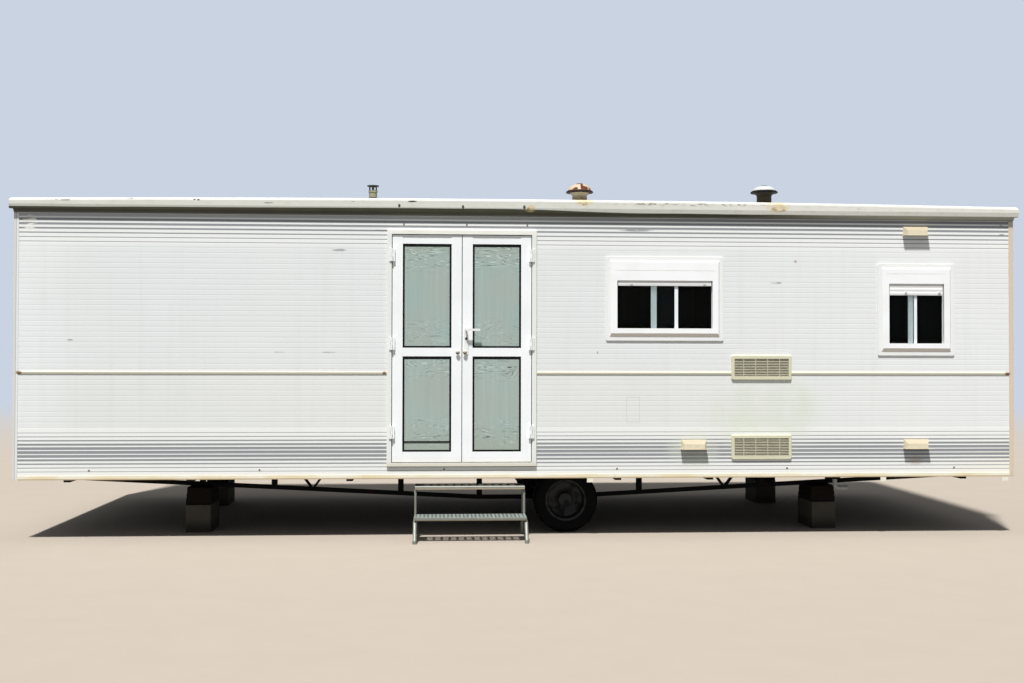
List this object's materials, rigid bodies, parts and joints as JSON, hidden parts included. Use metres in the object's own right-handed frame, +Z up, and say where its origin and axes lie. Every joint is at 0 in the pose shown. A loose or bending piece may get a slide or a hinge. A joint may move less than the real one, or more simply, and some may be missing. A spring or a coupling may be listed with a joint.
{
  "type": "mobile home",
  "caption": "Long single-storey mobile home with ribbed white cladding, glazed double door, sliding windows, roof vents, trussed chassis on piers and entry steps.",
  "frame": {"origin": "on the ground under the middle of the whole object, entry steps included", "axes": "+X along the home to the right of someone facing the door, +Y from the door wall to the rear, +Z up"},
  "size_m": [8.06, 3.376, 2.9023],
  "materials": {
    "cladding": "pre-painted ribbed aluminium, weathered",
    "wall_panel": "faced panel, insulated core",
    "cream_trim": "yellowed cream paint",
    "eaves_paint": "white paint, dented and stained",
    "roof_metal": "weathered roof sheet",
    "roof_foam": "faced panel",
    "floor_board": "worn floor board",
    "floor_timber": "raw joists",
    "chassis_steel": "black bitumen paint, rusting",
    "wheel_steel": "dull painted steel",
    "tyre_rubber": "perished rubber",
    "concrete": "cast concrete block",
    "packing_timber": "weathered timber",
    "door_paint": "white powder coat",
    "gasket_rubber": "black glazing gasket",
    "door_glass": "frosted film with bubbles",
    "lock_metal": "satin",
    "window_plastic": "white moulding",
    "window_glass": "clear over a dark room",
    "shutter_plastic": "white slats",
    "cream_plastic": "sun-yellowed plastic",
    "flue_metal": "dull beige paint",
    "rusty_metal": "rusted sheet steel",
    "vent_paint": "white paint over rust",
    "galvanised_steel": "dull hot-dip zinc",
    "waste_plastic": "white waste pipe"
  },
  "bodies": {
    "home": {"front_cladding_left": "cladding", "front_cladding_middle": "cladding", "front_cladding_right": "cladding", "rear_cladding": "cladding", "left_end_cladding": "cladding", "right_end_cladding": "cladding", "front_wall_left": "wall_panel", "front_wall_middle": "wall_panel", "front_wall_right": "wall_panel", "rear_wall": "wall_panel", "left_end_wall": "wall_panel", "right_end_wall": "wall_panel", "corner_trims": "cream_trim", "joint_trims": "cream_trim", "base_trims": "cream_trim", "skirt_tabs": "cream_trim", "door_jambs": "cream_trim", "door_head_and_sill": "cream_trim", "eaves_trims": "eaves_paint", "end_roof_trims": "eaves_paint", "roof_sheets": "roof_metal", "roof_panel": "roof_foam", "floor_deck": "floor_board", "floor_joists": "floor_timber", "chassis_rail_front": "chassis_steel", "chassis_rail_rear": "chassis_steel", "crossmembers": "chassis_steel", "axle": "chassis_steel", "wheels": "wheel_steel", "tyres": "tyre_rubber", "pier_blocks": "concrete", "pier_packings": "packing_timber", "door_hinges": "door_paint", "window_frames": "window_plastic", "window_sashes": "window_plastic", "window_glass": "window_glass", "roller_shutters": "shutter_plastic", "louvre_vents": "cream_plastic", "vent_cowls": "cream_plastic", "flue": "flue_metal", "rusty_roof_vent": "rusty_metal", "white_roof_vent": "vent_paint", "step_sides": "galvanised_steel", "step_treads": "galvanised_steel", "waste_pipe": "waste_plastic"},
    "door_left": {"door_leaf_left": "door_paint", "door_gaskets_left": "gasket_rubber", "door_glass_left": "door_glass"},
    "door_right": {"door_leaf_right": "door_paint", "door_gaskets_right": "gasket_rubber", "door_glass_right": "door_glass", "lock_plates": "lock_metal"},
    "lever": {"door_lever": "lock_metal"}
  },
  "joints": [
    {"name": "door_left_hinge", "type": "hinge", "parent": "home", "child": "door_left", "pos_m": [-1.066, -1.385, 1.542], "axis": [0, 0, -1], "range_deg": [0, 165]},
    {"name": "door_right_hinge", "type": "hinge", "parent": "home", "child": "door_right", "pos_m": [0.044, -1.385, 1.542], "axis": [0, 0, 1], "range_deg": [0, 165]},
    {"name": "lever_turn", "type": "hinge", "parent": "door_right", "child": "lever", "pos_m": [-0.478, -1.366, 1.652], "axis": [0, 1, 0], "range_deg": [0, 40], "stiffness_Nm_per_rad": 2, "springref_deg": -17.19}
  ]
}
